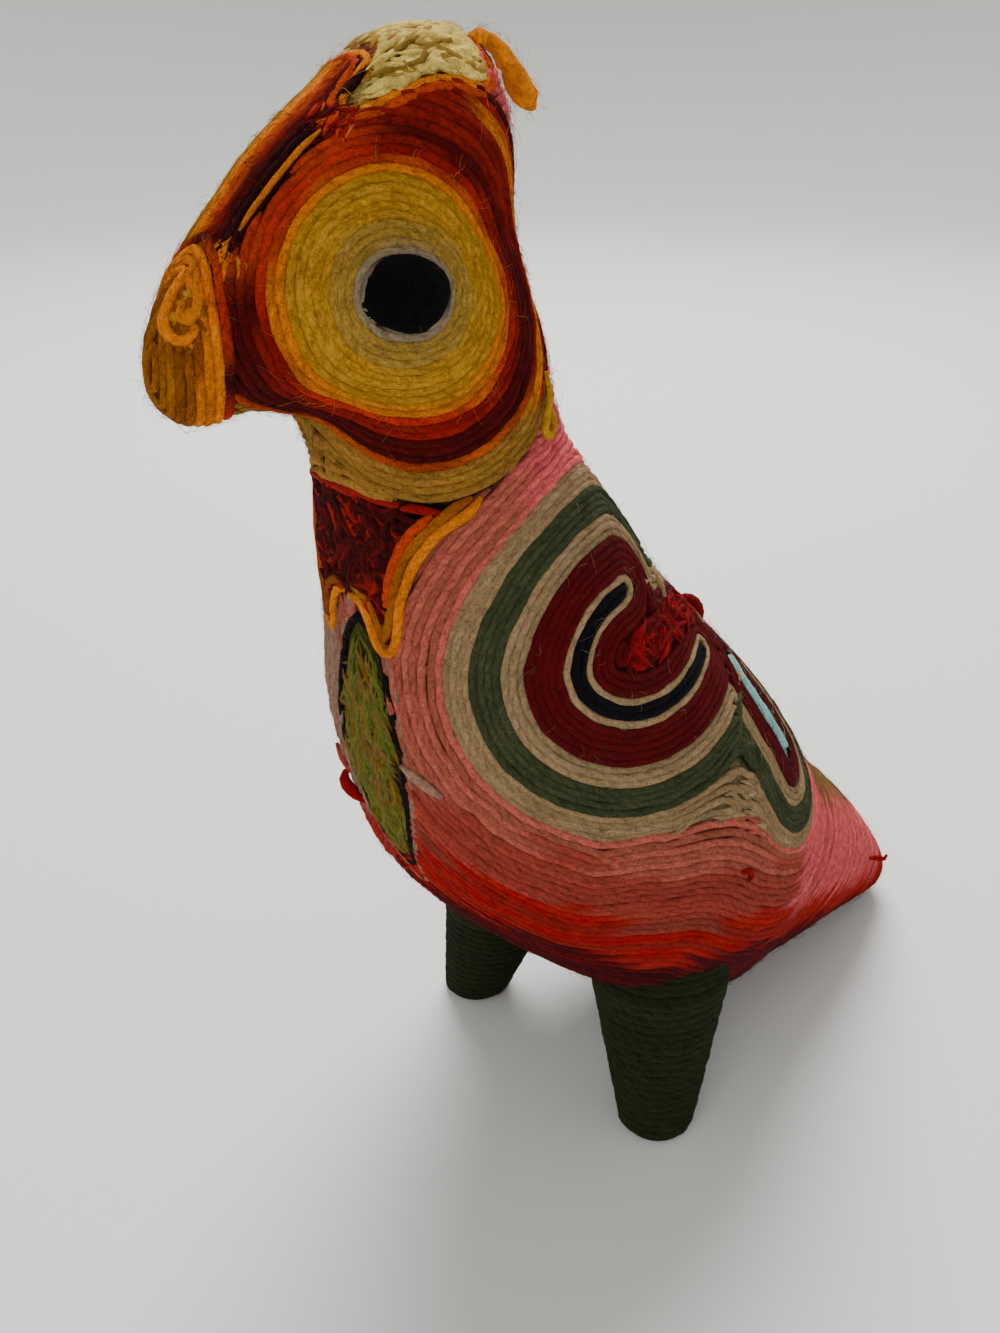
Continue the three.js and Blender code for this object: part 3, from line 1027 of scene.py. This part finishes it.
def around_curve(curve, gap, name, yarns, **form):
    """One closed strand up one side of a curve and down the other, on both sides of the body."""
    places, normals = body.land(evenly(rounded(curve), False)[0])
    across = unit(np.cross(np.gradient(places, axis=0), normals))
    loop = np.vstack([places + across * gap, (places - across * gap)[::-1]])
    for one in (loop, mirrored(loop)):
        lay(yarns, one, True, 0, one_colour(name), wander=0.0, **form)


def by_pixels(pixels, name, yarns, twice=False, **form):
    """A strand laid where the photograph shows it, and if twice, on the far side too."""
    points = rounded(seen_along(pixels))
    for one in (points, mirrored(points))[:2 if twice else 1]:
        lay(yarns, one, False, 0, one_colour(name), **form)


def some_of(surface, inside, count):
    """Some of the triangles inside, the larger ones more often."""
    area = surface.areas(inside)
    return rng.choice(inside, count, p=area / area.sum())


def random_places(surface, mask, least, count):
    """Random places on a surface where a mask is above a value, and their triangles."""
    chosen = some_of(surface, np.nonzero(mask[surface.t].min(1) > least)[0], count)
    r, s = rng.random((2, count))
    flip = r + s > 1
    r, s = np.where(flip, 1 - r, r), np.where(flip, 1 - s, s)
    a, b, c = surface.corners(chosen)
    return a + r[:, None] * (b - a) + s[:, None] * (c - a), chosen


def walk(start, way, steps, turn, mask=None):
    """A row of points that wanders near the surface, and ends where a mask does."""
    row = [start]
    for _ in range(steps):
        place, normal = body.land_one(row[-1])
        way = unit(way - normal * (way @ normal) + turn * rng.normal(size=3))
        following = place + way * STEP
        if mask is not None and body.read({"mask": mask}, following[None])["mask"][0] < MASK_END:
            break
        row.append(following)
    return np.array(row)


def matted(mask, count, length, names, along=None, loose=0.5, width=1.5, height=1.2, lift=0.25,
           least=0.5):
    """Short wisps over a patch, lying every way, or roughly along one direction."""
    for start in random_places(body, mask, least, count)[0]:
        steps = max(3, int(length * rng.uniform(0.6, 1.3) / STEP))
        way = rng.normal(size=3) if along is None else np.array(along) + loose * rng.normal(size=3)
        row = walk(start, way, steps, 0.25, mask)
        if len(row) < 4:
            continue
        places, normals = body.land(row)
        name = names[rng.integers(len(names))]
        rise = lift * rng.uniform(0.2, 1.6)
        size = rng.uniform(0.7, 1.3)
        wisps.add(places, normals, dyed_as(name, len(places)), width=width * size, height=height * size,
                  lift=rise, wander=0.3, taper=0.2, ring=WISP_ROUND)


def slopes(field):
    """How steeply a field rises over each triangle, as a vector."""
    a, b, c = body.corners(slice(None))
    fa, fb, fc = (field[body.t[:, k]] for k in range(3))
    up = np.cross(b - a, c - a)
    rise = (fb - fa)[:, None] * np.cross(c - a, up) + (fc - fa)[:, None] * np.cross(up, b - a)
    return rise / (up * up).sum(1)[:, None]


def fill_thin(field, mask, codes):
    """Short strands along the lines of a field, where those lines lie too far apart."""
    slope = slopes(field)
    thin = (np.linalg.norm(slope, axis=1) < THIN_SLOPE) & (mask[body.t].min(1) > 0.3)
    inside = np.nonzero(thin)[0]
    for t in some_of(body, inside, int(body.areas(inside).sum() / THIN_EACH)):
        way = unit(np.cross(body.n[body.t[t, 0]], slope[t]))
        places, normals = body.land(walk(body.v[body.t[t]].mean(0), way, rng.integers(3, 6), 0.06))
        colours = dyed_as(NAMES[codes[body.t[t, 0]]], len(places))
        wisps.add(places, normals, colours, width=1.3, height=1.0, lift=0.12, taper=0.2, ring=WISP_ROUND)


def region_codes():
    """The pattern's colour at each vertex of the body."""
    out = body_colours(wing_way, FIELDS, body.v)
    for region in ("head", "ridge", "beak", "crown"):
        field, mask, paint = REGIONS[region]
        out[mask > 0] = paint(field, FIELDS, body.v)[mask > 0]
    out[collar_in > 0] = code("brown")
    out[leaf_in > 0] = code("leaf")
    return out


def padding(codes):
    """What shows between strands: the body's form in the pattern's colours, darkened by half as painted
    shade in the gaps.
    """
    mesh = mesh_of("padding", body.v - body.n * PADDING_DEPTH, body.t.tolist())
    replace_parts(finished(mesh, "padding", PLAIN[codes], UNDER), "bird_body")


def add_hairs(yarns, surface, mask, count, codes):
    """Fine loose fibres that cross the strands and stand out a little at the outline."""
    places, triangles = random_places(surface, mask, 0.0, count)
    corners = surface.t[triangles, 0]
    for place, normal, corner in zip(places, surface.n[corners], corners):
        length = rng.uniform(0.9, 3.4)
        way = rng.normal(size=3)
        way = unit(way - normal * (way @ normal))
        side = np.cross(normal, way)
        t = np.linspace(0, 1, HAIR_RINGS)[:, None]
        bend = side * length * (rng.normal() * 0.4 * t * t + rng.normal() * 0.25 * np.sin(5 * t))
        stand = rng.uniform(0.1, 0.6) + (rng.random() < 0.15) * rng.uniform(0.0, 1.0)
        row = place + way * length * t + bend + normal * (0.4 + stand * np.sin(math.pi * 0.7 * t))
        colour = PLAIN[codes[corner]] * rng.uniform(0.8, 1.5) + 0.003
        yarns.add(row, np.tile(normal, (HAIR_RINGS, 1)), np.tile(colour, (HAIR_RINGS, 1)),
                  width=HAIR_WIDTH, height=HAIR_WIDTH, wander=0.0, rough=0.0, taper=0.5, ring=HAIR_ROUND,
                  step=length / (HAIR_RINGS - 1))


def near_pixel(pixel, reach):
    """A mask round one place that the photograph shows."""
    return reach - np.linalg.norm(body.v - seen_at(*pixel), axis=1)


def sticking_out(pixel, steps, name, yarns, width):
    """A loose end from one place, by steps to the photograph's right, up and towards its viewer."""
    frame_axes = np.array([CAMERA_SIDE, CAMERA_UP, -CAMERA_AHEAD])
    points = rounded(seen_at(*pixel) + np.array(steps, float) @ frame_axes, 2)
    even, step = evenly(points, False)
    normals = np.tile(-np.array(CAMERA_AHEAD), (len(even), 1))
    yarns.add(even, normals, dyed_as(name, len(even)), step=step, width=width, height=width)


KNOB_FACING = Vector((0.55, -0.7, 0.35)).normalized()
KNOB_LOOPS = ((2.15, 2.9, 0.3), (1.9, 2.6, -1.2))  # radius, width of the strand, place along facing


def knob_loop(yarns):
    """The tuft on the back: one fat strand in a loop with a hollow, and a smaller one inside it."""
    one = KNOB_FACING.cross(Vector((0, 0, 1))).normalized()
    two = one.cross(KNOB_FACING)
    for radius, width, out in KNOB_LOOPS:
        middle = KNOB_PLACE + KNOB_FACING * out
        angles = np.linspace(0, 2 * math.pi, 14, endpoint=False)
        points = np.array([middle + (one * math.cos(a) + two * math.sin(a)) * radius for a in angles])
        yarns.add(points, unit(points - np.array(KNOB_PLACE)), dyed_as("scarlet", len(points), True), True,
                  width=width, height=width, step=1.0, rough=0.2)


codes_here = region_codes()
padding(codes_here)
wings = {1: Yarns(), -1: Yarns()}
head, trim, wisps, loose = Yarns(), Yarns(), Yarns(), Yarns()

# The pattern's strands. In the wing they start outside the outlines of the stripe and the middle.
cover("body", lambda part: wings[1 if part[:, 0].mean() >= 0 else -1], first=1,
      keep_off=np.minimum(stripe_way - STRIPE_CLEAR, core_way - CORE_CLEAR))
cover("head", lambda part: head, first=3)
cover("ridge", lambda part: head, first=9)
cover("beak", lambda part: trim)
around_curve(hook, 0.66, "navy", trim, height=1.3, lift=0.05)
around_curve(stripe, 1.3, "teal", trim, height=1.3, lift=0.05)
around_curve(stripe, 0.3, "teal", trim, height=1.3, lift=0.15)
fill_thin(wing_way, np.minimum(body_in, wing_way - WING_FILLED), codes_here)

# The collar: a matted dark red middle, orange strands down its edge, and rings and red above.
matted(collar_in, 420, 9.0, ["brown", "brown", "brown", "maroon", "brown", "maroon", "red"], least=2.4,
       width=1.1, height=0.9, lift=0.35)
for strand, name in zip(COLLAR_STRANDS, ("orange", "amber", "brick")):
    by_pixels(strand, name, trim, twice=True, width=1.8, height=1.4, lift=0.4)
for strand in COLLAR_TOP:
    by_pixels(strand, "ring", trim, twice=True, width=1.7, height=1.3, lift=0.35)
matted(near_pixel(THROAT, 5.5), 80, 6.0, ["ring"], along=(1, 0.2, -0.3), loose=0.2, width=1.3,
       height=1.0, lift=0.3)
by_pixels(COLLAR_RED, "red", trim, twice=True, width=1.5, height=1.2, lift=0.35)

# The leaf: long olive wisps, a dark strand round them and a pale one outside.
trace(leaf_in, -0.3, "navy", trim, height=1.3)
trace(leaf_in, -1.5, "palepink", trim)
matted(leaf_in, 330, 14.0, ["leaf", "leaf", "leaf", "tan", "olive"], along=(0.1, 0, -1), loose=0.25,
       width=0.9, height=0.8, lift=0.45, least=0.1)

# The crown: pale folds from front to back, inside two strands.
trace(crown_in, -0.4, "orange", trim)
trace(crown_in, -1.5, "redorange", trim)
matted(crown_in, 560, 15.0, ["crown", "crown", "crown", "pale"], along=(0.3, 1.0, 0.1), loose=0.12,
       width=1.3, height=1.0, lift=0.5, least=0.0)

# The wing's middle, the forehead's tuft, and the rough front of the beak.
matted(np.minimum(CORE_PATCH - core_way, hook_way - HOOK_CLEAR), 300, 7.0,
       ["scarlet", "crimson", "scarlet"], width=1.0, height=0.9, lift=0.4, least=0.0)
matted(near_pixel(FOREHEAD_TUFT, 4.6), 110, 6.0, ["redorange", "red", "red", "maroon"],
       along=(-0.1, -0.8, -0.5), loose=0.35, width=0.7, height=0.7, lift=0.35)
matted(near_pixel(BEAK_FRONT, 5.2), 90, 5.0, ["amber", "gold", "amber"], width=1.2, height=0.9, lift=0.3)
for loop in BEAK_LOOPS:
    by_pixels(loop, "orange", loose, width=1.8, height=1.6, lift=0.45, rough=0.25, wander=0.25)
for pixel in BEAK_TUFTS:
    matted(near_pixel(pixel, 3.4), 70, 4.5, ["orange", "redorange", "orange"], along=(0.1, 0.3, -1),
           loose=0.3, width=0.6, height=0.5, lift=0.1)

# Loose strands and ends.
by_pixels(FOREHEAD_LINE, "orange", loose, width=0.8, height=1.2, lift=0.6, wander=0.0, rough=0.03)
by_pixels(NAPE_LOOP, "gold", loose, width=1.6, height=1.6, lift=0.7)
for name, pixels in NOTCH:
    by_pixels(pixels, name, trim, twice=True, width=1.6, lift=-0.05)
by_pixels(CREAM_DRIP, "cream", loose, width=2.4, height=2.0, lift=0.5)
by_pixels(CHEST_STRAND, "palepink", loose, width=1.9, height=1.7, lift=0.8)
by_pixels(FLANK_END, "scarlet", loose, width=1.5, height=1.5, lift=0.8)
for pixel, steps, name, width in LOOSE_ENDS:
    sticking_out(pixel, steps, name, loose, width)
knob_loop(loose)

for name, yarns in (("wing_yarn_left", wings[1]), ("wing_yarn_right", wings[-1]), ("head_yarn", head),
                    ("trim_yarn", trim), ("loose_yarn", loose)):
    yarns.piece(name, YARN, "body_wool")
wisps.piece("matted_wisps", FELT, "body_wool")

PUPIL_WIDE, PUPIL_HIGH, PUPIL_RISE, PUPIL_SUNK = 7.0, 5.7, 1.1, 0.7
PUPIL_SIDES, PUPIL_RINGS = 36, 8


def felt_pupil(name, centre):
    """A flat oval cushion of black felt on the surface, thickest in the middle."""
    place, normal = body.land_one(centre)
    side = unit(np.cross(normal, (0, 0, 1)))
    up = np.cross(side, normal)
    edge = 1 + 0.035 * waves(PUPIL_SIDES, 1.0, 9, True)
    top, low = [place + normal * PUPIL_RISE], [place - normal * PUPIL_SUNK]
    for r in range(1, PUPIL_RINGS + 1):
        share = r / PUPIL_RINGS
        for i in range(PUPIL_SIDES):
            angle = 2 * math.pi * i / PUPIL_SIDES
            out = side * math.cos(angle) * PUPIL_WIDE + up * math.sin(angle) * PUPIL_HIGH
            foot, here = body.land_one(place + out * share * edge[i])
            bulge = PUPIL_RISE * math.sqrt(1 - share ** 8) + 0.10 * rng.normal() * (share < 0.95)
            top.append(foot + here * bulge)
            low.append(foot - here * PUPIL_SUNK)
    faces = []
    under, last = len(top), (PUPIL_RINGS - 1) * PUPIL_SIDES
    for i in range(PUPIL_SIDES):
        a, b = 1 + i, 1 + (i + 1) % PUPIL_SIDES
        for start, turn in ((0, 1), (under, -1)):
            faces.append([start, start + a, start + b][::turn])
            for ring in range(start, start + last, PUPIL_SIDES):
                faces.append([ring + a, ring + PUPIL_SIDES + a, ring + PUPIL_SIDES + b, ring + b][::turn])
        faces.append([last + a, under + last + a, under + last + b, last + b])
    mesh = mesh_of(name, top + low, faces)
    finished(mesh, name, np.tile(PLAIN[code("black")], (2 * under, 1)), FELT)


felt_pupil("pupil_left", pupil[0])
felt_pupil("pupil_right", mirrored(pupil)[0])


# Legs, with the cones' lean and flare per millimetre of height.

LEG_SPREAD, LEG_FRONT = 28.5, -13.25
LEG_LEAN, LEG_BACK = 6.5 / 36, 5.5 / 36
FOOT_RADIUS, LEG_FLARE = 6.6, 7.4 / 36
LEG_PITCH, LEG_TOP = 1.7, 46.0
LEG_START, EDGE_HEIGHT = 0.75, 1.2  # under the second, the strand follows the sole's round edge
EDGE_SUNK, LEG_SUNK = 0.5, 0.12
LEG_BURIED = -0.8  # strands go this far into the body


def is_outside(p):
    place, normal, _, _ = body.tree.find_nearest(Vector(p))
    return (Vector(p) - place).dot(normal) > LEG_BURIED


def leg_yarn(side, name):
    """One strand wound round and round a leaning cone, until it meets the body."""
    yarns = Yarns()
    points, normals = [], []
    angle, z = 0.0, LEG_START
    while z < LEG_TOP:
        radius = FOOT_RADIUS + LEG_FLARE * z - (EDGE_SUNK if z < EDGE_HEIGHT else LEG_SUNK)
        out = np.array([math.cos(angle), math.sin(angle), 0.0])
        middle = np.array([side * (LEG_SPREAD - LEG_LEAN * z), LEG_FRONT + LEG_BACK * z, z])
        points.append(middle + out * radius)
        normals.append(out)
        turn = STEP / radius
        angle += turn
        z += LEG_PITCH * turn / (2 * math.pi)
    points, normals = np.array(points), np.array(normals)
    run = []
    for i, here in enumerate([is_outside(p) for p in points] + [False]):
        if here:
            run.append(i)
            continue
        if len(run) > 3:
            yarns.add(points[run], normals[run], dyed_as("legs", len(run)), width=1.95, height=1.4,
                      wander=0.16)
        run = []
    yarns.piece("leg_yarn_" + name, YARN, "leg_wool")


leg_yarn(1, "left")
leg_yarn(-1, "right")
# The cone's wool is darkened to 0.6 of the leg colour: painted shade in the gaps between the leg's strands.
leg_core = matted_wool("leg_padding_gap_shade", 0.6, PLAIN[code("legs")])
for name in ("left_leg", "right_leg"):
    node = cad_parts[name]
    node.data.materials.clear()
    node.data.materials.append(leg_core)

CREST_SWELL, CREST_LUMPS, CREST_SMOOTH = 0.22, 0.16, 7


def crest_yarn():
    """The felted yarn end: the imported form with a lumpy, fibrous surface."""
    lumps = crest.smooth(rng.normal(size=len(crest.v)), CREST_SMOOTH)
    lumps /= lumps.std()
    places = crest.v + crest.n * (CREST_SWELL + CREST_LUMPS * lumps)[:, None]
    mesh = mesh_of("crest_yarn", places, crest.t.tolist())
    # The colour is lighter on the lumps and darker in the dents between them: painted light and shade.
    colours = np.tile(PLAIN[code("crest")], (len(places), 1)) * (1 + 0.1 * lumps)[:, None]
    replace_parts(finished(mesh, "crest_yarn", colours, FELT), "crest_tuft")


crest_yarn()

# Loose fibres, on the head and crest in one piece and on the body in another.
HEAD_FROM, PUPIL_BARE = 140, 5
HEAD_HAIRS, BODY_HAIRS, CREST_HAIRS = 6000, 7000, 160
head_hairs, body_hairs = Yarns(), Yarns()
add_hairs(head_hairs, body, np.minimum(high - HEAD_FROM, eye_way - PUPIL_BARE), HEAD_HAIRS, codes_here)
add_hairs(head_hairs, crest, np.ones(len(crest.v)), CREST_HAIRS, np.full(len(crest.v), code("crest")))
head_hairs.piece("fibres_head", YARN, "body_wool")
add_hairs(body_hairs, body, HEAD_FROM - high, BODY_HAIRS, codes_here)
body_hairs.piece("fibres_body", YARN, "body_wool")
